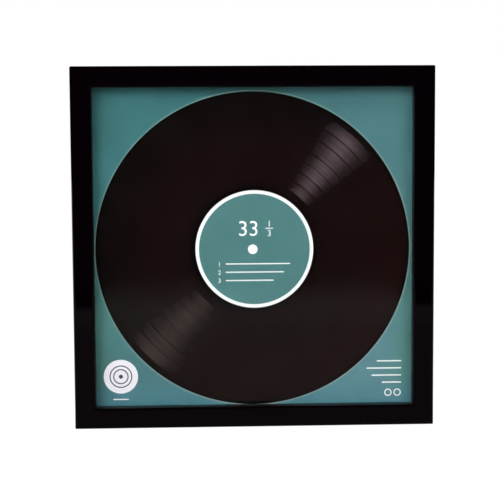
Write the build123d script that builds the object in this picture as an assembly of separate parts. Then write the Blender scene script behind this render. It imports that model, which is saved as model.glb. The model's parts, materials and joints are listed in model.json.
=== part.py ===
from build123d import *
import math
import os

# Wall frame for a twelve inch record sleeve, opened from the back by eight turn buttons.
# Lengths are millimetres and angles degrees. The front faces -Y, the wall is on the +Y side,
# +Z is up and +X is to the right for someone who looks at the front.
# While it is modelled, the front face is the plane Y = 0 with the window's middle at X = Z = 0.
# The last section moves every piece so that the origin is the hanger's middle notch.

# Moulding
sight = 305.0                # clear window, square
face_width = 20.0            # moulding as seen from the front
lip_width = 6.25             # part of the face that covers the edge of the glass
lip_depth = 12.0             # from the front face back to the glass
outer_round = 3.0            # long front edge on the outside
sight_round = 2.0            # long front edge beside the window
corner_round = 2.0           # four corners of the outline, eased by sanding
outer_chamfer = 1.0          # long back edge on the outside
rebate_chamfer = 0.8         # long back edge beside the backing board

# Stack of sheets in the rebate, from the front
glass_thickness = 2.0
glass_arris = 0.3            # ground edge of the glass
air_gap = 0.1                # between the glass and the paper
paper_thickness = 0.3
liner_thickness = 0.3        # flat papers of the corrugated card
flute_height = 4.3           # between the two flat papers
board_thickness = 3.0
board_chamfer = 0.4
stack_play = 0.2             # from the board to the frame's back face
sheet_clearance = 0.5        # between each sheet's edge and the rebate, all round

# Fluted paper of the card
flute_paper = 0.3
flute_pitch = 8.6
flute_crest = 1.3            # flattened top that is glued to a flat paper
flute_shoulder = 0.9         # rounding beside a crest, along X
flute_drop = 0.45            # and how far it falls
glue_bite = 0.1              # how far a crest is pressed into the flat paper

# Turn buttons and their screws
button_place = 90.0          # from the middle of a rail to a pivot
button_thickness = 1.0
button_reach = 17.0          # from the pivot to the middle of the round tip
button_heel_radius = 5.0
button_tip_radius = 3.0
button_edge = 0.2            # chamfer of the stamped edge
button_float = 0.1           # play above and below the plate
pivot_clearance = 0.1        # between a plate's hole and the screw or nail in it
screw_radius = 1.45
screw_length = 10.0          # under the head
screw_head_radius = 3.0
screw_head_height = 2.0
screw_head_slope = 0.6       # bevel round its top
recess_depth = 1.2
recess_span = 3.2
recess_width = 0.8
pilot_clearance = 0.05       # round a shank and past its end

# Corner nails, two across each mitre
v_nail_leg = 5.0
v_nail_thickness = 0.6
v_nail_height = 10.0
v_nail_shares = (0.14, 0.5)  # place of each point along the mitre, from the rebate outwards

# Saw tooth hanger and its two nails
hanger_length = 45.0
hanger_height = 9.5
hanger_thickness = 0.8
hanger_rise = 1.6            # room for a nail's head behind the bridge
hanger_ear = 8.0             # flat end that is nailed down
hanger_slope = 2.4           # length of the bend between ear and bridge, along X
hanger_bend = 0.8            # inside radius of each bend
hanger_corner = 2.0
tooth_pitch = 1.8
tooth_depth = 1.4
tooth_flat = 0.3             # width left at each tooth's tip
hanger_nail_radius = 0.7
hanger_nail_length = 9.0
hanger_nail_head_radius = 1.7
hanger_nail_head_height = 0.7
hanger_nail_head_slope = 0.3

# Rubber bumpers that keep the fittings off the wall
bumper_radius = 4.75
bumper_height = 3.8
bumper_edge = 1.2
bumper_inset = 22.5          # from the frame's outer side to a bumper's middle

# Sizes that follow from the ones above
outer = sight + 2 * face_width
rebate = sight + 2 * lip_width
sheet = rebate - 2 * sheet_clearance
glass_front = lip_depth
paper_front = glass_front + glass_thickness + air_gap
card_front = paper_front + paper_thickness
card_thickness = flute_height + 2 * liner_thickness
board_front = card_front + card_thickness
depth = board_front + board_thickness + stack_play
rail_back = (outer - rebate) / 2             # width of the rail's flat back
rail_line = (rebate + rail_back) / 2         # from the middle of the frame to the middle of that back
fitting_line = rail_line - (outer_chamfer - rebate_chamfer) / 2
hanger_nail_place = (hanger_length - hanger_ear) / 2
button_seat = depth + button_float
screw_seat = button_seat + button_thickness + button_float
notch_depth = depth + hanger_rise + hanger_thickness / 2
notch_height = fitting_line - hanger_height / 2 + tooth_depth
hanging_notch = (0, notch_depth, notch_height)

# Turn about Y that brings the bottom rail, and what is on it, to each side of the frame
quarter = 90
side_turns = {"bottom": 0, "left": quarter, "top": 2 * quarter, "right": 3 * quarter}

# A turn button's place before its side is turned is at the -X or the +X end of the bottom rail
button_names = {
    ("bottom", -1): "bottom_left",
    ("bottom", 1): "bottom_right",
    ("left", -1): "left_upper",
    ("left", 1): "left_lower",
    ("top", -1): "top_right",
    ("top", 1): "top_left",
    ("right", -1): "right_lower",
    ("right", 1): "right_upper",
}


def nearest(shape_items, point):
    """The vertex or edge of a list that lies closest to a point."""
    return shape_items.sort_by_distance(point)[0]


def on_side(side, shape):
    """A shape made for the bottom rail, turned to another side."""
    return Rot(0, side_turns[side], 0) * shape


def round_bar(radius, length):
    """Round bar along Y with its middle at the origin."""
    return Rot(quarter, 0, 0) * Cylinder(radius, length)


# Rails
def rail_section():
    """Moulding across the bottom rail, drawn with Y as its first and Z as its second coordinate."""
    outside, inside, wall = -outer / 2, -sight / 2, -rebate / 2
    points = [
        (0, outside),
        (0, inside),
        (lip_depth, inside),
        (lip_depth, wall),
        (depth, wall),
        (depth, outside),
    ]
    section = make_face(Polyline(*points, close=True))
    section = fillet(nearest(section.vertices(), (0, outside)), outer_round)
    section = fillet(nearest(section.vertices(), (0, inside)), sight_round)
    section = chamfer(nearest(section.vertices(), (depth, wall)), rebate_chamfer)
    return chamfer(nearest(section.vertices(), (depth, outside)), outer_chamfer)


def mitre_wedge():
    """Three-cornered prism from the middle of the frame out past the bottom rail, for its two mitres."""
    corners = Polyline((-outer, -outer), (outer, -outer), (0, 0), close=True)
    return extrude(Plane.XZ * make_face(corners), amount=2 * depth, both=True)


def frame_envelope():
    """The frame's outline from the front, with its eased corners, as a solid slab."""
    outline = RectangleRounded(outer, outer, corner_round)
    return extrude(Plane.XZ * outline, amount=2 * depth, both=True)


def rails(v_nails, screws, hanger_nails):
    """Four mitred lengths of moulding, cut for the corner nails and drilled for screws and nails."""
    bar = extrude(Plane.YZ * rail_section(), amount=outer / 2, both=True)
    bottom = bar & mitre_wedge() & frame_envelope()
    cut = {}
    for side in side_turns:
        cut[side + "_rail"] = on_side(side, bottom) - v_nails - screws - hanger_nails
    return cut


# Sheets in the rebate
def flat_sheet(front, thickness):
    """Square sheet that fills the rebate but for its clearance."""
    return Pos(0, front + thickness / 2, 0) * Box(sheet, thickness, sheet)


def glazing():
    """Glass pane with ground edges."""
    pane = flat_sheet(glass_front, glass_thickness)
    return chamfer(pane.edges(), glass_arris)


def backing_board():
    """Fibreboard back with its long edges broken."""
    board = flat_sheet(board_front, board_thickness)
    return chamfer(board.edges(), board_chamfer)


def fluted_paper():
    """Section of the fluted paper: one band that swings between the two flat papers.

    Its line has a flat crest, a shoulder on each side of it and straight flanks between. It is
    drawn along the band's front face, and the band is that line thickened towards +Y."""
    front = card_front + (card_thickness - flute_paper) / 2
    swing = (flute_height - flute_paper) / 2 + glue_bite
    turns = 2 * round(sheet / flute_pitch)
    top = flute_crest / 2
    foot = top + flute_shoulder
    profile = [(-foot, swing - flute_drop), (-top, swing), (top, swing), (foot, swing - flute_drop)]
    points = [(-sheet / 2, front + swing)]
    for turn in range(turns + 1):
        across = turn * sheet / turns - sheet / 2
        way = 1 if turn % 2 == 0 else -1
        points += [(across + x, front + way * y) for x, y in profile if abs(across + x) < sheet / 2]
    points.append((sheet / 2, front + swing))
    run = Polyline(*points)
    band = offset(run, amount=flute_paper, side=Side.LEFT, closed=True, kind=Kind.INTERSECTION)
    return make_face(band.edges())


def filler_card():
    """Corrugated card: two flat papers with the fluted one between them, its flutes upright."""
    section = fluted_paper()
    for front in (card_front, card_front + card_thickness - liner_thickness):
        section = section + Pos(0, front + liner_thickness / 2) * Rectangle(sheet, liner_thickness)
    return extrude(section, amount=sheet / 2, both=True)


# Fittings on the back
def headed_pin(radius, length, head_radius, head_height, head_slope):
    """Screw or nail along Y, its head's underside at Y = 0 and its shank towards -Y."""
    outline = Polyline(
        (0, head_height),
        (0, -length),
        (radius, -length),
        (radius, 0),
        (head_radius, 0),
        (head_radius, head_height - head_slope),
        (head_radius - head_slope, head_height),
        close=True,
    )
    return revolve(make_face(outline), Axis.Y)


def pilot_hole(radius, length):
    """Blind hole for a shank of this radius that goes this deep from the back face of a rail."""
    deep = length + pilot_clearance
    return Pos(0, -deep / 2, 0) * round_bar(radius + pilot_clearance, deep)


def at_pivots(shape, height):
    """The same shape at the pivot of every turn button, at a height along Y."""
    return [
        on_side(side, Pos(end * button_place, height, -fitting_line) * shape)
        for side, end in button_names
    ]


def turn_button_plate():
    """Stamped plate with a wide heel round the screw and a narrow tip, along +X from its pivot.

    Its straight sides touch both rounds, so they meet each of them at the same slant."""
    heel, tip = button_heel_radius, button_tip_radius
    slant = math.acos((heel - tip) / button_reach)
    side = (math.cos(slant), math.sin(slant))
    heel_end = (heel * side[0], heel * side[1])
    tip_end = (button_reach + tip * side[0], tip * side[1])
    outline = [
        ThreePointArc((heel_end[0], -heel_end[1]), (-heel, 0), heel_end),
        Line(heel_end, tip_end),
        ThreePointArc(tip_end, (button_reach + tip, 0), (tip_end[0], -tip_end[1])),
        Line((tip_end[0], -tip_end[1]), (heel_end[0], -heel_end[1])),
    ]
    plate = extrude(Plane.XZ * make_face(outline), amount=-button_thickness)
    plate = chamfer(plate.edges().group_by(Axis.Y)[-1], button_edge)
    return plate - round_bar(screw_radius + pivot_clearance, 4 * button_thickness)


def turn_buttons():
    """Eight plates, each lying along its rail and pointing to the rail's middle."""
    plate = turn_button_plate()
    buttons = {}
    for (side, end), name in button_names.items():
        facing = 0 if end < 0 else 2 * quarter
        place = Pos(end * button_place, button_seat, -fitting_line) * Rot(0, facing, 0)
        buttons["turn_button_" + name] = on_side(side, place * plate)
    return buttons


def turn_button_screw():
    """Pan head screw with a cross recess."""
    screw = headed_pin(
        screw_radius, screw_length, screw_head_radius, screw_head_height, screw_head_slope
    )
    for across in (0, quarter):
        slot = Box(recess_span, 2 * recess_depth, recess_width)
        screw = screw - Pos(0, screw_head_height, 0) * Rot(0, across, 0) * slot
    return screw


def corner_nails():
    """V shaped nails driven into the back of each mitre, one leg in each rail."""
    leg, wall = v_nail_leg, v_nail_thickness
    points = [(0, 0), (leg, 0), (leg, wall), (wall, wall), (wall, leg), (0, leg)]
    nail = extrude(Plane.XZ * make_face(Polyline(*points, close=True)), amount=v_nail_height)
    nails = []
    for side in side_turns:
        for share in v_nail_shares:
            place = rebate / 2 + share * rail_back
            nails.append(on_side(side, Pos(place, depth, place) * nail))
    return nails


def sawtooth_hanger():
    """Strip bent into two ears and a bridge, with notches along the bridge's lower edge."""
    ear_end = hanger_length / 2 - hanger_ear
    bridge_end = ear_end - hanger_slope
    run = FilletPolyline(
        (-hanger_length / 2, 0),
        (-ear_end, 0),
        (-bridge_end, hanger_rise),
        (bridge_end, hanger_rise),
        (ear_end, 0),
        (hanger_length / 2, 0),
        radius=hanger_bend,
    )
    band = make_face(offset(run, amount=hanger_thickness, side=Side.LEFT, closed=True).edges())
    strip = extrude(band, amount=hanger_height / 2, both=True)
    ends = strip.edges().filter_by(Axis.Y).group_by(Axis.X)
    strip = fillet([*ends[0], *ends[-1]], hanger_corner)

    half = (tooth_pitch - tooth_flat) / 2
    bottom = -hanger_height / 2
    notch_outline = Polyline(
        (-half, bottom), (half, bottom), (0, bottom + tooth_depth), close=True
    )
    reach = hanger_rise + hanger_thickness
    notch = extrude(Plane.XZ * make_face(notch_outline), amount=-2 * reach)
    pairs = int((bridge_end - half) / tooth_pitch)
    for step in range(-pairs, pairs + 1):
        strip = strip - Pos(step * tooth_pitch, 0, 0) * notch
    hole = round_bar(hanger_nail_radius + pivot_clearance, 4 * hanger_thickness)
    for end in (-1, 1):
        strip = strip - Pos(end * hanger_nail_place, 0, 0) * hole
    return Pos(0, depth, fitting_line) * strip


def at_hanger_nails(shape, height):
    """The same shape at both nails of the hanger, at a height along Y."""
    return [Pos(end * hanger_nail_place, height, fitting_line) * shape for end in (-1, 1)]


def hanger_nail():
    """Round headed nail of the hanger."""
    return headed_pin(
        hanger_nail_radius,
        hanger_nail_length,
        hanger_nail_head_radius,
        hanger_nail_head_height,
        hanger_nail_head_slope,
    )


def wall_bumper():
    """Round rubber foot with a bevelled edge, standing on the back face."""
    foot = Pos(0, bumper_height / 2, 0) * round_bar(bumper_radius, bumper_height)
    return chamfer(foot.edges().sort_by(Axis.Y)[-1], bumper_edge)


# Assembly
def pieces():
    """Every piece by name, round the middle of the frame."""
    v_nails = corner_nails()
    screw_holes = at_pivots(pilot_hole(screw_radius, screw_length - screw_seat + depth), depth)
    nail_deep = hanger_nail_length - hanger_thickness
    nail_holes = at_hanger_nails(pilot_hole(hanger_nail_radius, nail_deep), depth)
    named = rails(v_nails, screw_holes, nail_holes)
    named["corner_nails"] = Compound(v_nails)
    named["glazing"] = glazing()
    named["print_sheet"] = flat_sheet(paper_front, paper_thickness)
    named["filler_card"] = filler_card()
    named["backing_board"] = backing_board()
    named |= turn_buttons()
    named["turn_button_screws"] = Compound(at_pivots(turn_button_screw(), screw_seat))
    named["sawtooth_hanger"] = sawtooth_hanger()
    nail_seat = depth + hanger_thickness
    named["hanger_nails"] = Compound(at_hanger_nails(hanger_nail(), nail_seat))
    for end, name in ((-1, "left"), (1, "right")):
        place = Pos(end * (outer / 2 - bumper_inset), depth, -fitting_line)
        named["wall_bumper_" + name] = place * wall_bumper()
    return named


os.makedirs("parts", exist_ok=True)
to_origin = Pos(*(-value for value in hanging_notch))
for name, shape in pieces().items():
    export_step(to_origin * shape, f"parts/{name}.step")
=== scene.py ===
import json
import math

import bmesh
import bpy
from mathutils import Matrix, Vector


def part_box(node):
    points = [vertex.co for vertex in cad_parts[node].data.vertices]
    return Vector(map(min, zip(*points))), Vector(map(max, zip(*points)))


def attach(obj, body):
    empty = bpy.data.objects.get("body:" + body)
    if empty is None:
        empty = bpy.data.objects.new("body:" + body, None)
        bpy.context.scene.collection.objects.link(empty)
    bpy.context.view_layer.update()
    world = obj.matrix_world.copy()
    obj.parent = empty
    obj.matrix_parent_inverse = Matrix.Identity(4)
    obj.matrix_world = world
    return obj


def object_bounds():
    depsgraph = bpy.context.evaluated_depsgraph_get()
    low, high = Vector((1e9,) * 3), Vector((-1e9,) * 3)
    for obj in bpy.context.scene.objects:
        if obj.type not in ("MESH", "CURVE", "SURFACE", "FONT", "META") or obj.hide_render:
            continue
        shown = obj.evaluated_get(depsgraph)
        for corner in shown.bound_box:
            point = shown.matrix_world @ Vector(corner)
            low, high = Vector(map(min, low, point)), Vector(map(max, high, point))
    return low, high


# Looks of a black wall frame that shows a printed record behind glass.
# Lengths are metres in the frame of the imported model: the front faces -Y, the wall is on the
# +Y side and +Z is up. Places on the print are (x, z) from the middle of the window.
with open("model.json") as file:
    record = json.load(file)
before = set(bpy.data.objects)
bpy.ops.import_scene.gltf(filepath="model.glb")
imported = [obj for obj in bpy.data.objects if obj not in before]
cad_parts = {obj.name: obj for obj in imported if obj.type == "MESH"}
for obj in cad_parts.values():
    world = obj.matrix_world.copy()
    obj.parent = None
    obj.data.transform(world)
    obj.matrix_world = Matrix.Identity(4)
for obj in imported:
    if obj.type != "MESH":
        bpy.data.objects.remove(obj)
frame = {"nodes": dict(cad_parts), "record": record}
cad_low, cad_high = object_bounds()
MM = 0.001

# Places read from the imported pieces
glass_low, glass_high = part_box("glazing")
paper_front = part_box("print_sheet")[0].y
frame_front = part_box("left_rail")[0].y
window_middle = Vector((
    (glass_low.x + glass_high.x) / 2,
    frame_front,
    (glass_low.z + glass_high.z) / 2,
))
sight_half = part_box("right_rail")[0].x - window_middle.x
outer_half = (cad_high.z - cad_low.z) / 2
depth_margin = 0.05 * MM        # tells the front of a piece from what lies behind it

# Camera, from a fit to the photograph's eight frame corners
camera_offset = Vector((-55.3, -1276.8, 115.2)) * MM
camera_pitch, camera_roll, camera_yaw = 84.783, 0.317, -2.325
camera_view_angle = 20.979

# Lamps: name, power, size, distance, azimuth and elevation from the window, mirrored in gloss
lamps = (
    ("key_lamp", 14.5, 0.9, 2.0, -34, 26, False),
    ("fill_lamp", 8.0, 0.9, 2.0, 34, 26, False),
    ("rim_lamp", 16.0, 1.2, 2.0, 140, 40, True),
)

# Even light of the studio, and how light it looks in gloss and glass
ambient_level = 0.88
front_gloss_level = 0.012       # in front of the frame
side_gloss_share = 0.25         # of that, from the sides
wall_gloss_level = 1.0          # behind the frame

# Directions where the mirrored studio changes, as parts of a unit vector
front_gloss_foot = (-0.125, -0.11)      # upwards
side_gloss_turn = (-0.93, -0.8)         # towards the wall
wall_gloss_turn = (0.55, 0.95)          # towards the wall

# Floor: its own glow and matt share as the camera sees it, and its matt share in other light
floor_glow, floor_seen_matt, floor_matt = 0.93, 0.1, 0.8
floor_front, floor_reach = 1.6, 6.0

# The floor in gloss, by distance in front of the frame. From far to near it is dim, black and
# pale, and a little darker again at the frame.
floor_gloss_level = 0.105
near_gloss_share = 0.65
black_floor_far, black_floor_near = 1309 * MM, 1000 * MM
pale_floor_far, pale_floor_near = 912 * MM, 815 * MM
darker_floor_near = 560 * MM

# The strip of floor that the pane mirrors turns pale more slowly: its reach and place across
pane_strip_far, pane_strip_near = 1340 * MM, 726 * MM
pane_strip_middle, pane_strip_half, pane_strip_edge = 37 * MM, 250 * MM, 8 * MM

# Distances behind the frame's front where the mirrored floor turns white
white_floor_start, white_floor_full = 2 * MM, 60 * MM

# Ink on the paper, in flat films
ink_thickness = 0.02 * MM
print_roughness = 0.14          # coated paper
print_gloss = 0.25
cap_height_share = 0.729        # height of a numeral of the built-in font at size 1

# Printed record and its label
record_centre = (-0.75 * MM, -2.0 * MM)
record_radius = 150.7 * MM
record_rim = 1.2 * MM           # light line round it
label_centre = (0.7 * MM, -1.9 * MM)
label_ring_outer = 56.6 * MM
label_ring_inner = 53.25 * MM
spindle_dot_radius = 4.65 * MM
spindle_dot_centre = (-0.9 * MM, -2.0 * MM)

# Grooves of the record, between the smooth ring round the label and the smooth edge
first_groove_radius = 67.0 * MM
full_shine_radius = 100 * MM
last_track_radius = 140.2 * MM
lead_in_radius = 144.3 * MM
dark_edge_radius = 147.6 * MM
track_gap_radii = [radius * MM for radius in (75.7, 86.3, 97.1, 107.3, 121.5, 133.0)]
track_gap_width = 1.1 * MM
track_strengths = (0.89, 0.96, 1.06, 0.96, 0.9, 1.0, 1.06)      # of their shine, inside out

# Streaks of light on the record: angle in degrees, and how narrow each is
bright_angle, bright_narrowness = 48.3, 167
weak_angle, weak_narrowness = 226, 100
weak_streak_share = 0.4         # of the bright one's light

# Figures and rules on the label
speed_foot, speed_height = (-5 * MM, 11 * MM), 15 * MM
fraction_middle, fraction_height = 15 * MM, 6 * MM
fraction_feet = (19.6 * MM, 10.6 * MM)
fraction_rule_place, fraction_rule_size = (fraction_middle, 18.1 * MM), (7.5 * MM, 0.9 * MM)
list_top, list_pitch = -16 * MM, 8 * MM
list_rule_start, list_rule_width = -27 * MM, 1.1 * MM
list_rule_lengths = (62 * MM, 56 * MM, 46 * MM)
list_figure_middle, list_figure_height = -33 * MM, 4.4 * MM

# Badge in the lower left corner
badge_centre, badge_radius = (-128.9 * MM, -124.3 * MM), 16.5 * MM
badge_ring_radii, badge_ring_width = (11 * MM, 7.4 * MM), 1.1 * MM
badge_dot_radius = 2 * MM
badge_rule_place, badge_rule_size = (-128.9 * MM, -146.5 * MM), (15 * MM, 1.1 * MM)

# Rules and rings in the lower right corner
corner_rule_end, corner_rule_width = 143 * MM, 1.2 * MM
corner_rule_top, corner_rule_pitch = -112 * MM, 7 * MM
corner_rule_lengths = (24 * MM, 34 * MM, 29 * MM, 19 * MM)
corner_ring_centres = ((130 * MM, -143 * MM), (139 * MM, -143 * MM))
corner_ring_outer, corner_ring_inner = 3.6 * MM, 2.6 * MM


def tone(red, green, blue):
    """Linear colour of screen levels from 0 to 255."""
    linear = []
    for level in (red, green, blue):
        share = level / 255
        linear.append(share / 12.92 if share <= 0.04045 else ((share + 0.055) / 1.055) ** 2.4)
    return (*linear, 1.0)


class Shader:
    """A node material while it is built. An input takes a socket or a plain value."""

    def __init__(self, name, tree=None):
        if tree is None:
            self.material = bpy.data.materials.new(name)
            self.material.use_nodes = True
            tree = self.material.node_tree
        self.tree = tree
        self.tree.nodes.clear()

    def add(self, kind, inputs=None, **settings):
        """New node with these settings and inputs."""
        node = self.tree.nodes.new("ShaderNode" + kind)
        for key, value in settings.items():
            setattr(node, key, value)
        for key, value in (inputs or {}).items():
            self.feed(node.inputs[key], value)
        return node

    def feed(self, socket, value):
        if isinstance(value, bpy.types.NodeSocket):
            self.tree.links.new(value, socket)
        elif value is not None:
            socket.default_value = value

    def position(self):
        return self.add("TexCoord").outputs["Object"]

    def split(self, vector):
        return self.add("SeparateXYZ", {"Vector": vector}).outputs

    def join(self, x, y, z):
        return self.add("CombineXYZ", {"X": x, "Y": y, "Z": z}).outputs[0]

    def math(self, operation, a, b=None, c=None):
        node = self.add("Math", operation=operation)
        for socket, value in zip(node.inputs, (a, b, c)):
            self.feed(socket, value)
        return node.outputs[0]

    def times(self, first, *others):
        """Product of numbers."""
        for other in others:
            first = self.math("MULTIPLY", first, other)
        return first

    def times_plus(self, a, b, c):
        """a times b, plus c."""
        return self.math("MULTIPLY_ADD", a, b, c)

    def rest(self, share):
        """What a share leaves of 1."""
        return self.math("SUBTRACT", 1.0, share)

    def off(self, value, middle):
        """Distance of a number from a middle."""
        return self.math("ABSOLUTE", self.math("SUBTRACT", value, middle))

    def blend(self, share, a, b, kind="FLOAT"):
        """a at share 0 and b at share 1. The kind is FLOAT, VECTOR or RGBA."""
        first, output = {"FLOAT": (2, 0), "VECTOR": (4, 1), "RGBA": (6, 2)}[kind]
        node = self.add("Mix", {0: share, first: a, first + 1: b}, data_type=kind)
        return node.outputs[output]

    def mix(self, share, a, b):
        """Colour a at share 0 and b at share 1."""
        return self.blend(share, a, b, "RGBA")

    def dim(self, colour, factor):
        """A colour times a number."""
        inputs = {0: 1.0, 6: colour, 7: self.join(factor, factor, factor)}
        return self.add("Mix", inputs, data_type="RGBA", blend_type="MULTIPLY").outputs[2]

    def step(self, value, low, high, out_low=0.0, out_high=1.0):
        """Smooth change from out_low to out_high while value goes from low to high."""
        inputs = {
            "Value": value,
            "From Min": low,
            "From Max": high,
            "To Min": out_low,
            "To Max": out_high,
        }
        return self.add("MapRange", inputs, interpolation_type="SMOOTHSTEP").outputs[0]

    def step_at(self, value, middle, half, out_low=0.0, out_high=1.0):
        """The same change, from half below a middle to half above it."""
        return self.step(value, middle - half, middle + half, out_low, out_high)

    def noise(self, vector, grain, detail=2.0, roughness=0.5):
        """Noise from 0 to 1 whose grains are about this many metres wide."""
        inputs = {"Vector": vector, "Scale": 1 / grain, "Detail": detail, "Roughness": roughness}
        return self.add("TexNoise", inputs).outputs[0]

    def patches(self, vector, grain, levels, out=(0.0, 1.0), detail=2.0, roughness=0.5):
        """Noise as patches: out[0] under its lower level and out[1] over its higher one."""
        return self.step(self.noise(vector, grain, detail, roughness), *levels, *out)

    def streaks(self, value, grain, detail=2.0):
        """Noise from 0 to 1 along one coordinate."""
        inputs = {"W": value, "Scale": 1 / grain, "Detail": detail}
        return self.add("TexNoise", inputs, noise_dimensions="1D").outputs[0]

    def bump(self, height, depth):
        """Normal of a surface whose height runs from 0 to 1 over this depth."""
        return self.add("Bump", {"Height": height, "Distance": depth}).outputs[0]

    def principled(self, **inputs):
        names = {key.replace("_", " "): value for key, value in inputs.items()}
        return self.add("BsdfPrincipled", names).outputs[0]

    def mix_surfaces(self, share, a, b):
        """Surface a at share 0 and b at share 1."""
        return self.add("MixShader", {0: share, 1: a, 2: b}).outputs[0]

    def ray_kinds(self):
        """1 for a ray that shows the studio itself, and 1 for one that shows it mirrored.
        Both are 0 for light that falls on the object, also where it comes through the glass."""
        path = self.add("LightPath").outputs
        direct = self.rest(self.math("MINIMUM", path["Diffuse Depth"], 1.0))
        mirrored = self.math("MINIMUM", path["Glossy Depth"], 1.0)
        straight = self.math("MAXIMUM", path["Is Camera Ray"], path["Is Transmission Ray"])
        glossy = self.math("MAXIMUM", path["Is Glossy Ray"], mirrored)
        seen = self.times(straight, direct, self.rest(mirrored))
        return seen, self.times(glossy, direct)

    def close(self, surface):
        """Links the finished surface and returns the material."""
        self.feed(self.add("OutputMaterial").inputs["Surface"], surface)
        return self.material


# Materials
def fibre_tones(shader, place, dark, light):
    """Colour and height of raw fibreboard: pressed wood flour with darker bark flecks."""
    fleck_tone = tone(92, 66, 44)
    fibre = shader.noise(place, grain=0.9 * MM, detail=6.0, roughness=0.7)
    aged = shader.patches(place, grain=18 * MM, levels=(0.35, 0.7), out=(0.0, 0.22), detail=3.0)
    fleck = shader.patches(
        place, grain=1.6 * MM, levels=(0.62, 0.72), out=(0.0, 0.55), detail=3.0, roughness=0.6
    )
    pressed = shader.mix(fibre, dark, light)
    return shader.mix(fleck, shader.mix(aged, pressed, dark), fleck_tone), fibre


def from_middle(shader, place):
    """Distance from the window's middle, sideways or upwards, whichever is more."""
    x, _, z = shader.split(place)
    return shader.math(
        "MAXIMUM", shader.off(x, window_middle.x), shader.off(z, window_middle.z)
    )


def bare_core(shader, place, reach):
    """1 where the moulding's film has ended: on its back and in its rebate."""
    film_overlap, film_wander = 4.5 * MM, 0.5 * MM
    wander = shader.times(shader.noise(place, grain=9 * MM, detail=3.0), film_wander)
    film_end = outer_half - film_overlap
    inside = shader.math("LESS_THAN", shader.math("ADD", reach, wander), film_end)
    depth = shader.split(place)["Y"]
    behind = shader.math("GREATER_THAN", depth, glass_low.y + depth_margin)
    return shader.times(inside, behind)


def moulding_material():
    """Gloss black film round a fibreboard core. The film is dull on the lip's inner wall."""
    film_tone, dark_wood, light_wood = tone(3, 0, 2), tone(164, 134, 100), tone(206, 180, 146)
    gloss_range, dull_film, wood_roughness = (0.035, 0.07), 0.5, 0.85
    dull_full, dull_end = sight_half + 0.1 * MM, sight_half + 0.8 * MM
    peel_depth, fibre_depth = 0.0004 * MM, 0.12 * MM

    shader = Shader("black_moulding")
    place = shader.position()
    reach = from_middle(shader, place)
    bare = bare_core(shader, place, reach)
    wood, fibre = fibre_tones(shader, place, dark_wood, light_wood)
    gloss = shader.patches(
        place, grain=0.5 * MM, levels=(0.45, 0.8), out=gloss_range, detail=4.0, roughness=0.6
    )
    lip_wall = shader.step(reach, dull_full, dull_end, 1.0, 0.0)
    film = shader.blend(lip_wall, gloss, dull_film)
    peel = shader.bump(shader.noise(place, grain=3.5 * MM, detail=1.0), peel_depth)
    return shader.close(
        shader.principled(
            Base_Color=shader.mix(bare, film_tone, wood),
            Roughness=shader.blend(bare, film, wood_roughness),
            Normal=shader.blend(bare, peel, shader.bump(fibre, fibre_depth), "VECTOR"),
        )
    )


def glass_material():
    """Clear pane that lets the lamps through to the print."""
    glass_tone, shadow_tone = (0.965, 0.985, 0.975, 1.0), (0.9, 0.91, 0.905, 1.0)
    shader = Shader("glass")
    smears = shader.patches(
        shader.position(), grain=40 * MM, levels=(0.4, 0.7), out=(0.05, 0.08), detail=4.0
    )
    pane = shader.principled(
        Base_Color=glass_tone, Roughness=smears, IOR=1.5, Transmission_Weight=1.0
    )
    clear = shader.add("BsdfTransparent", {"Color": shadow_tone}).outputs[0]
    in_shadow = shader.add("LightPath").outputs["Is Shadow Ray"]
    return shader.close(shader.mix_surfaces(in_shadow, pane, clear))


def printed_paper(shader, place, colour, unevenness):
    """Colour and normal of coated paper: faint cloud of the printing and fine tooth."""
    cloud_share, tooth_share, tooth_depth = 0.6, 0.4, 0.006 * MM
    cloud = shader.noise(place, grain=28 * MM, detail=3.0)
    tooth = shader.noise(place, grain=0.35 * MM, detail=3.0, roughness=0.6)
    both = shader.times_plus(tooth, tooth_share, shader.times(cloud, cloud_share))
    shade = shader.step_at(both, 0.5, 0.2, 1 - unevenness, 1 + unevenness)
    return shader.dim(colour, shade), shader.bump(tooth, tooth_depth)


def teal_ground(shader, x, up):
    """The print's ground, which changes slowly from the upper left to the lower right."""
    half = 150 * MM
    from_left, from_top = shader.step_at(x, 0.0, half), shader.step_at(up, 0.0, half, 1.0, 0.0)
    share = shader.times(shader.math("ADD", from_left, from_top), 0.5)
    ground = shader.mix(share, tone(56, 107, 108), tone(98, 141, 150))

    beside = shader.step(shader.math("ABSOLUTE", x), 120 * MM, half)
    below = shader.step(up, -half, -125 * MM, 1.0, 0.0)
    lower = shader.step_at(up, 0.0, 120 * MM, 1.0, 0.25)
    greener = shader.times(beside, lower, shader.rest(below), 0.5)
    ground = shader.mix(greener, ground, tone(82, 137, 124))
    ground = shader.mix(shader.times(below, 0.5), ground, tone(82, 138, 156))

    upper_left = shader.step(shader.math("SUBTRACT", x, up), -200 * MM, -100 * MM, 1.0, 0.0)
    return shader.mix(upper_left, ground, tone(66, 119, 122))


def painted_lip_shade(shader, x, up):
    """Painted shade of the lip, which makes the ground darker along its top and at its left
    corners.
    """
    top_shade, left_shade = 0.12, 0.16
    shade_start, shade_full = 120 * MM, 146 * MM
    near_corner = shader.step(shader.math("ABSOLUTE", up), 80 * MM, 120 * MM, 0.0, left_shade)
    left_edge = shader.rest(shader.step(x, -shade_full, -shade_start, near_corner, 0.0))
    top_edge = shader.step(up, shade_start, shade_full, 1.0, 1.0 - top_shade)
    return shader.times(left_edge, top_edge)


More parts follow.
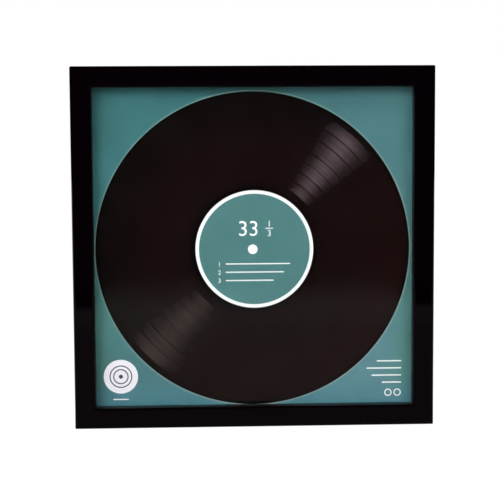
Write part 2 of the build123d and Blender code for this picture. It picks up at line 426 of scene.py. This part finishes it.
def teal_paper_material():
    """Paper with a teal front and plain white edges and back."""
    bare_tone, unevenness = tone(236, 234, 226), 0.06
    shader = Shader("printed_paper")
    place = shader.position()
    x, y, z = shader.split(place)
    up = shader.math("SUBTRACT", z, window_middle.z)
    # Painted shade of the lip dims the ground along its top and at its left corners.
    ground = shader.dim(teal_ground(shader, x, up), painted_lip_shade(shader, x, up))
    inked, normal = printed_paper(shader, place, ground, unevenness)
    front = shader.math("LESS_THAN", y, paper_front + depth_margin)
    return shader.close(
        shader.principled(
            Base_Color=shader.mix(front, bare_tone, inked),
            Roughness=print_roughness,
            Specular_IOR_Level=print_gloss,
            Normal=normal,
        )
    )


def ink_material(name, colour, unevenness):
    """One flat ink on the paper."""
    shader = Shader(name)
    inked, normal = printed_paper(shader, shader.position(), colour, unevenness)
    return shader.close(
        shader.principled(
            Base_Color=inked,
            Roughness=print_roughness,
            Specular_IOR_Level=print_gloss,
            Normal=normal,
        )
    )


def streak_share(shader, x, z, radius, degrees, narrowness):
    """1 along a ray from the record's middle, falling softly to both sides."""
    turn = math.radians(degrees)
    along = shader.times_plus(x, math.cos(turn), shader.times(z, math.sin(turn)))
    cosine = shader.math("MAXIMUM", shader.math("DIVIDE", along, radius), 0.0)
    return shader.math("POWER", cosine, narrowness)


def groove_cover(shader, radius, weak):
    """How far grooves cover the record, and 1 outside its smooth inner ring. The cover is 0 on
    that ring, 1 on the tracks and less on the lead-in, which the weak streak lights more."""
    lead_in_share, weak_lead_in_rise, edge_share = 0.56, 0.5, 0.06
    wound = shader.step_at(radius, first_groove_radius, 0.6 * MM)
    lead_in = shader.times_plus(weak, weak_lead_in_rise, lead_in_share)
    thinning = shader.step_at(radius, last_track_radius, 1.5 * MM, 1.0, lead_in)
    ended = shader.step_at(radius, lead_in_radius, 0.7 * MM, 1.0, edge_share)
    return shader.times(wound, ended, thinning), wound


def tracks(shader, radius):
    """1 in the middle of each smooth gap between tracks, and each track's strength."""
    gaps, strength = 0.0, track_strengths[0]
    for gap_radius, before, after in zip(track_gap_radii, track_strengths, track_strengths[1:]):
        line = shader.step(shader.off(radius, gap_radius), 0.0, track_gap_width, 1.0, 0.0)
        gaps = shader.math("MAXIMUM", line, gaps)
        change = shader.step_at(radius, gap_radius, track_gap_width, 0.0, after - before)
        strength = shader.math("ADD", change, strength)
    return gaps, strength


def groove_shine(shader, radius, fine, weak):
    """How strongly the tracks catch light: grooves in bands, and dark gaps between tracks."""
    even_part, band_part, coarse_part, fine_part = 0.12, 0.3, 1.1, 0.36
    gap_depth, weak_gap_rise = -0.95, 0.22
    innermost_shine = 0.78
    band = shader.streaks(radius, grain=5 * MM, detail=2.0)
    coarse = shader.streaks(radius, grain=2.3 * MM, detail=1.0)
    grooves = shader.times_plus(band, band_part, even_part)
    grooves = shader.times_plus(coarse, coarse_part, grooves)
    grooves = shader.times_plus(fine, fine_part, grooves)
    gaps, strength = tracks(shader, radius)
    gap_change = shader.times_plus(weak, weak_gap_rise, gap_depth)
    open_share = shader.times_plus(gaps, gap_change, 1.0)
    outwards = shader.step(radius, first_groove_radius, full_shine_radius, innermost_shine, 1.0)
    return shader.times(grooves, strength, outwards, open_share)


def unlit_vinyl(shader, radius, cover, fine, painted_reflection_share):
    """Nearly black tone of the record beside its streaks. Its outer part is lighter towards the
    lower right: a painted reflection of the pale floor in the glass.
    """
    change_start, change_full = 90 * MM, 140 * MM
    inner_tone = shader.mix(shader.times(cover, fine), tone(17, 4, 4), tone(23, 9, 9))
    # Painted reflection: the outer tone is lighter towards the lower right.
    outer_tone = shader.mix(painted_reflection_share, tone(12, 4, 4), tone(24, 6, 6))
    return shader.mix(shader.step(radius, change_start, change_full), inner_tone, outer_tone)


def record_edges(shader, radius, vinyl, painted_reflection_share):
    """The vinyl with a black ring round the label, a black bevel and the light rim."""
    ring_start, ring_end = label_ring_outer + 2.5 * MM, label_ring_outer + 5 * MM
    bevel_width = 1.5 * MM
    ring = shader.step(radius, ring_start, ring_end, 1.0, 0.0)
    bevel = shader.step(radius, dark_edge_radius, dark_edge_radius + bevel_width)
    rim = shader.step(radius, record_radius - 0.1 * MM, record_radius + 0.3 * MM)
    # Painted reflection: the rim is lighter towards the lower right.
    rim_tone = shader.mix(painted_reflection_share, tone(120, 153, 149), tone(143, 164, 161))
    vinyl = shader.mix(ring, vinyl, tone(4, 0, 2))
    vinyl = shader.mix(bevel, vinyl, tone(2, 4, 4))
    return shader.mix(rim, vinyl, rim_tone)


def record_material():
    """The printed picture of a record: grooves, gaps between tracks and two streaks of light."""
    inner_ring_shine = 0.06
    strand_turn, strand_part, strand_base = 0.022, 0.2, 0.54        # the turn in radians
    bright_tone, weak_tone = tone(103, 86, 92), tone(105, 91, 85)

    shader = Shader("printed_record")
    x, _, z = shader.split(shader.position())
    flat = shader.join(x, 0.0, z)
    radius = shader.add("VectorMath", {0: flat}, operation="LENGTH").outputs["Value"]
    # Painted reflection of the pale floor in the glass: the record's outer part and its rim are
    # lighter towards the lower right.
    painted_reflection_share = shader.step(shader.math("SUBTRACT", x, z), -100 * MM, 150 * MM)
    bright = streak_share(shader, x, z, radius, bright_angle, bright_narrowness)
    weak = streak_share(shader, x, z, radius, weak_angle, weak_narrowness)

    fine = shader.streaks(radius, grain=0.45 * MM, detail=1.0)
    cover, wound = groove_cover(shader, radius, weak)
    shine = shader.times(groove_shine(shader, radius, fine, weak), cover)
    inner_ring = shader.times(shader.rest(wound), fine)
    shine = shader.times_plus(inner_ring, inner_ring_shine, shine)

    strands = shader.streaks(shader.math("ARCTAN2", z, x), strand_turn, detail=2.0)
    strands = shader.times_plus(strands, strand_part, strand_base)
    both_streaks = shader.times_plus(weak, weak_streak_share, bright)
    light = shader.times(both_streaks, strands, shine)
    unlit = unlit_vinyl(shader, radius, cover, fine, painted_reflection_share)
    vinyl = shader.mix(light, unlit, shader.mix(weak, bright_tone, weak_tone))
    return shader.close(
        shader.principled(
            Base_Color=record_edges(shader, radius, vinyl, painted_reflection_share),
            Roughness=print_roughness,
            Specular_IOR_Level=print_gloss,
        )
    )


def card_material():
    """Brown corrugated card with upright fibres, a faint cloud and dark specks."""
    fibre_stretch, fibre_depth = 0.35, 0.05 * MM
    shader = Shader("corrugated_card")
    place = shader.position()
    x, y, z = shader.split(place)
    upright = shader.join(x, y, shader.times(z, fibre_stretch))
    fibre = shader.noise(upright, grain=0.8 * MM, detail=5.0, roughness=0.65)
    cloud = shader.patches(place, grain=25 * MM, levels=(0.35, 0.7), out=(0.0, 0.3), detail=3.0)
    speck = shader.patches(place, grain=0.6 * MM, levels=(0.7, 0.78), out=(0.0, 0.5))
    kraft = shader.mix(fibre, tone(166, 132, 92), tone(196, 162, 118))
    kraft = shader.mix(cloud, kraft, tone(170, 130, 86))
    return shader.close(
        shader.principled(
            Base_Color=shader.mix(speck, kraft, tone(96, 66, 40)),
            Roughness=0.85,
            Normal=shader.bump(fibre, fibre_depth),
        )
    )


def board_material():
    """Brown fibreboard with paler scuffs."""
    fibre_depth = 0.04 * MM
    shader = Shader("fibreboard")
    place = shader.position()
    wood, fibre = fibre_tones(shader, place, tone(116, 82, 55), tone(158, 121, 87))
    scuff = shader.patches(
        place, grain=60 * MM, levels=(0.5, 0.8), out=(0.0, 0.25), detail=5.0, roughness=0.65
    )
    return shader.close(
        shader.principled(
            Base_Color=shader.mix(scuff, wood, tone(172, 138, 104)),
            Roughness=shader.step_at(fibre, 0.5, 0.2, 0.4, 0.62),
            Normal=shader.bump(fibre, fibre_depth),
        )
    )


def plated_material(name, dull, bright, roughness_low, roughness_high):
    """Barrel plated steel with mottling, fine grain and a few dark pits."""
    pit_tone, grain_depth = tone(88, 84, 78), 0.006 * MM
    shader = Shader(name)
    place = shader.position()
    bloom = shader.noise(place, grain=4 * MM, detail=4.0, roughness=0.6)
    grain = shader.noise(place, grain=0.25 * MM, detail=3.0, roughness=0.6)
    pit = shader.patches(place, grain=0.7 * MM, levels=(0.7, 0.76), out=(0.0, 0.5))
    return shader.close(
        shader.principled(
            Base_Color=shader.mix(pit, shader.mix(bloom, dull, bright), pit_tone),
            Metallic=1.0,
            Roughness=shader.step_at(bloom, 0.5, 0.2, roughness_low, roughness_high),
            Normal=shader.bump(grain, grain_depth),
        )
    )


def rubber_material():
    """Black rubber with a trace of dust."""
    tooth_depth = 0.02 * MM
    shader = Shader("rubber")
    place = shader.position()
    tooth = shader.noise(place, grain=0.3 * MM, detail=3.0)
    dust = shader.patches(
        place, grain=1.2 * MM, levels=(0.5, 0.8), out=(0.0, 0.35), detail=4.0, roughness=0.7
    )
    return shader.close(
        shader.principled(
            Base_Color=shader.mix(dust, tone(34, 34, 35), tone(84, 82, 78)),
            Roughness=shader.step_at(tooth, 0.5, 0.2, 0.55, 0.75),
            Normal=shader.bump(tooth, tooth_depth),
        )
    )


def dress_nodes():
    """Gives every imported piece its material."""
    zinc = (tone(176, 178, 180), tone(208, 209, 208), 0.24, 0.42)
    steel = (tone(170, 168, 164), tone(200, 198, 194), 0.2, 0.36)
    finishes = {
        "black_moulding": moulding_material(),
        "glass": glass_material(),
        "printed_paper": teal_paper_material(),
        "corrugated_card": card_material(),
        "fibreboard": board_material(),
        "zinc_plate": plated_material("zinc_plate", *zinc),
        "screw_steel": plated_material("screw_steel", *steel),
        "rubber": rubber_material(),
    }
    for row in frame["record"]["subparts"]:
        node = frame["nodes"][row["node"]]
        for place in node.material_slots:
            place.material = finishes[row["material_slot"]]


# Print
def circle(radius, centre=(0.0, 0.0), count=256):
    """Loop of (x, z) points round a centre."""
    turns = [2 * math.pi * step / count for step in range(count)]
    return [
        (centre[0] + radius * math.cos(turn), centre[1] + radius * math.sin(turn))
        for turn in turns
    ]


def bar(middle, length, width, end_points=8):
    """Loop round a level rule with rounded ends."""
    half, radius = (length - width) / 2, width / 2
    loop = []
    for side, start in ((1, -90), (-1, 90)):
        for step in range(end_points + 1):
            turn = math.radians(start + 180 * step / end_points)
            x = middle[0] + side * half + radius * math.cos(turn)
            loop.append((x, middle[1] + radius * math.sin(turn)))
    return loop


def ink_piece(name, film, layer, material, centre=(0.0, 0.0)):
    """Makes a finished film a piece that rides on the print, in its layer of ink."""
    mesh = bpy.data.meshes.new(name)
    film.to_mesh(mesh)
    film.free()
    mesh.materials.append(material)
    piece = bpy.data.objects.new(name, mesh)
    bpy.context.scene.collection.objects.link(piece)
    front = paper_front - (layer + 1) * ink_thickness
    piece.location = (window_middle.x + centre[0], front, window_middle.z + centre[1])
    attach(piece, "print_sheet")


def printed(name, shapes, layer, material, centre=(0.0, 0.0)):
    """Closed film of ink. A shape is a loop of (x, z) points and the loop of its hole or None."""
    film = bmesh.new()
    for outline, hole in shapes:
        loops = [outline] if hole is None else [outline, hole]
        fronts = [[film.verts.new((x, 0, z)) for x, z in loop] for loop in loops]
        backs = [[film.verts.new((x, ink_thickness, z)) for x, z in loop] for loop in loops]
        for near, far in zip(fronts, backs):
            for at in range(len(near)):
                film.faces.new((near[at - 1], near[at], far[at], far[at - 1]))
        for rims in (fronts, backs):
            if hole is None:
                film.faces.new(rims[0])
                continue
            for at in range(len(outline)):
                film.faces.new((rims[0][at - 1], rims[0][at], rims[1][at], rims[1][at - 1]))
    bmesh.ops.recalc_face_normals(film, faces=film.faces)
    ink_piece(name, film, layer, material, centre)


def figures(name, words, layer, material):
    """Numbers printed on the paper. A word is its text, the middle of its foot and its height."""
    film = bmesh.new()
    for text, (x, z), height in words:
        curve = bpy.data.curves.new(name, "FONT")
        curve.body = text
        curve.size = height / cap_height_share
        curve.align_x = "CENTER"
        curve.extrude = ink_thickness / 2
        letters = bpy.data.objects.new(name, curve)
        bpy.context.scene.collection.objects.link(letters)
        letters.location = (x, ink_thickness / 2, z)
        letters.rotation_euler = (math.pi / 2, 0, 0)
        bpy.context.view_layer.update()
        mesh = bpy.data.meshes.new_from_object(letters)
        mesh.transform(letters.matrix_world)
        film.from_mesh(mesh)
        bpy.data.objects.remove(letters)
    bmesh.ops.remove_doubles(film, verts=film.verts, dist=ink_thickness / 10)
    ink_piece(name, film, layer, material)


def print_record(white):
    """The record with its label, ring and spindle dot."""
    label_teal = ink_material("label_ink", tone(84, 130, 131), 0.05)
    shift = (label_centre[0] - record_centre[0], label_centre[1] - record_centre[1])
    disc = (circle(record_radius + record_rim), circle(label_ring_outer, shift))
    label = circle(label_ring_inner, label_centre)
    ring = (circle(label_ring_outer, label_centre), label)
    dot = circle(spindle_dot_radius, spindle_dot_centre, count=96)
    printed("print_record", [disc], 0, record_material(), record_centre)
    printed("print_label_ring", [ring], 0, white)
    printed("print_label", [(label, None)], 0, label_teal)
    printed("print_spindle_dot", [(dot, None)], 1, white)


def print_label_marks(white):
    """Playing speed and a numbered list of rules on the label."""
    words = [("33", speed_foot, speed_height)]
    for text, foot in zip("13", fraction_feet):
        words.append((text, (fraction_middle, foot), fraction_height))
    rules = [bar(fraction_rule_place, *fraction_rule_size)]
    for row, length in enumerate(list_rule_lengths):
        middle = list_top - row * list_pitch
        foot = middle - list_figure_height / 2
        words.append((str(row + 1), (list_figure_middle, foot), list_figure_height))
        rules.append(bar((list_rule_start + length / 2, middle), length, list_rule_width))
    figures("print_label_figures", words, 1, white)
    printed("print_label_rules", [(loop, None) for loop in rules], 1, white)


def print_badge(white):
    """Pale disc with two rings and a dot, over a short rule."""
    pale = ink_material("pale_ink", tone(246, 240, 249), 0.01)
    slate = ink_material("slate_ink", tone(66, 72, 82), 0.03)
    marks = [
        (circle(radius, count=128), circle(radius - badge_ring_width, count=128))
        for radius in badge_ring_radii
    ]
    marks.append((circle(badge_dot_radius, count=48), None))
    rule = bar((0.0, 0.0), *badge_rule_size)
    printed("print_badge", [(circle(badge_radius), None)], 0, pale, badge_centre)
    printed("print_badge_rings", marks, 1, slate, badge_centre)
    printed("print_badge_rule", [(rule, None)], 0, white, badge_rule_place)


def print_corner_marks(white):
    """Four rules that end in a line, over two rings."""
    marks = []
    for row, length in enumerate(corner_rule_lengths):
        middle = (corner_rule_end - length / 2, corner_rule_top - row * corner_rule_pitch)
        marks.append((bar(middle, length, corner_rule_width), None))
    for centre in corner_ring_centres:
        outer, inner = (circle(r, centre, count=64) for r in (corner_ring_outer, corner_ring_inner))
        marks.append((outer, inner))
    printed("print_corner_marks", marks, 0, white)


def print_art():
    """Everything that is printed on the teal ground."""
    white = ink_material("white_ink", tone(254, 255, 255), 0.01)
    print_record(white)
    print_label_marks(white)
    print_badge(white)
    print_corner_marks(white)


# Studio
def turned(azimuth, elevation):
    """Direction from the window towards a place in the studio. Azimuth 0 is in front."""
    a, e = math.radians(azimuth), math.radians(elevation)
    return Vector((math.sin(a) * math.cos(e), -math.cos(a) * math.cos(e), math.sin(e)))


def soft_lamp(name, power, size, distance, azimuth, elevation, in_gloss):
    """Square area lamp that faces the window. Gloss mirrors it only where in_gloss is set."""
    lamp = bpy.data.objects.new(name, bpy.data.lights.new(name, "AREA"))
    bpy.context.scene.collection.objects.link(lamp)
    lamp.data.energy = power
    lamp.data.size = size
    way = turned(azimuth, elevation)
    lamp.location = window_middle + way * distance
    lamp.rotation_euler = way.to_track_quat("Z", "Y").to_euler()
    lamp.visible_glossy = in_gloss


def studio_world():
    """Even soft light. The camera sees white, and gloss sees a white wall and a dim front."""
    world = bpy.data.worlds.new("studio")
    bpy.context.scene.world = world
    world.use_nodes = True
    shader = Shader("studio", world.node_tree)
    _, towards_wall, upwards = shader.split(shader.add("TexCoord").outputs["Generated"])
    front = shader.step(upwards, *front_gloss_foot, 0.0, front_gloss_level)
    sides = shader.step(towards_wall, *side_gloss_turn, 1.0, side_gloss_share)
    mirrored = shader.step(
        towards_wall, *wall_gloss_turn, shader.times(front, sides), wall_gloss_level
    )
    seen, glossy = shader.ray_kinds()
    strength = shader.blend(seen, shader.blend(glossy, ambient_level, mirrored), 1.0)
    sky = shader.add("Background", {"Color": (1, 1, 1, 1), "Strength": strength})
    shader.feed(shader.add("OutputWorld").inputs["Surface"], sky.outputs[0])


def mirrored_floor(shader, x, y):
    """How light the floor looks in gloss and glass."""
    dim = shader.step(y, -black_floor_far, -black_floor_near, front_gloss_level, 0.0)
    pale = shader.step(y, -pale_floor_far, -pale_floor_near, 0.0, floor_gloss_level)
    strip = shader.step(
        y, -pane_strip_far, -pane_strip_near, front_gloss_level, floor_gloss_level
    )
    off_strip = shader.off(x, pane_strip_middle)
    beside = shader.step(off_strip, pane_strip_half, pane_strip_half + pane_strip_edge)
    front = shader.blend(beside, strip, shader.math("MAXIMUM", dim, pale))
    fade = shader.step(y, -pale_floor_near, -darker_floor_near, 1.0, near_gloss_share)
    behind = shader.step(y, white_floor_start, white_floor_full)
    return shader.math("MAXIMUM", shader.times(front, fade), behind)


def floor_material():
    """Pale floor that looks white but for the frame's soft shadow, and is clear from below."""
    shader = Shader("floor")
    x, y, _ = shader.split(shader.position())
    seen, glossy = shader.ray_kinds()
    own_glow = shader.times(seen, floor_glow)
    glow = shader.times_plus(glossy, mirrored_floor(shader, x, y), own_glow)
    matt = shader.times(shader.blend(seen, floor_matt, floor_seen_matt), shader.rest(glossy))
    diffuse = shader.add("BsdfDiffuse", {"Color": shader.join(matt, matt, matt)}).outputs[0]
    light = shader.add("Emission", {"Color": (1, 1, 1, 1), "Strength": glow}).outputs[0]
    lit = shader.add("AddShader", {0: diffuse, 1: light}).outputs[0]
    clear = shader.add("BsdfTransparent").outputs[0]
    from_below = shader.add("NewGeometry").outputs["Backfacing"]
    return shader.close(shader.mix_surfaces(shader.times(seen, from_below), lit, clear))


def studio_floor():
    """Floor at the level of the frame's lower edge."""
    mesh = bpy.data.meshes.new("floor")
    corners = [
        (-floor_reach, -floor_front, 0),
        (floor_reach, -floor_front, 0),
        (floor_reach, floor_reach, 0),
        (-floor_reach, floor_reach, 0),
    ]
    mesh.from_pydata(corners, [], [(0, 1, 2, 3)])
    mesh.materials.append(floor_material())
    floor = bpy.data.objects.new("floor", mesh)
    bpy.context.scene.collection.objects.link(floor)
    floor.location = (window_middle.x, window_middle.y, cad_low.z)


def photo_camera():
    """Camera of the photograph."""
    camera = bpy.data.objects.new("camera", bpy.data.cameras.new("camera"))
    bpy.context.scene.collection.objects.link(camera)
    camera.location = window_middle + camera_offset
    camera.rotation_euler = [math.radians(turn) for turn in (camera_pitch, camera_roll, camera_yaw)]
    camera.data.sensor_fit = "HORIZONTAL"
    camera.data.angle = math.radians(camera_view_angle)
    bpy.context.scene.camera = camera


dress_nodes()
print_art()
studio_world()
studio_floor()
for lamp in lamps:
    soft_lamp(*lamp)
photo_camera()
bpy.context.scene.view_settings.view_transform = "Standard"
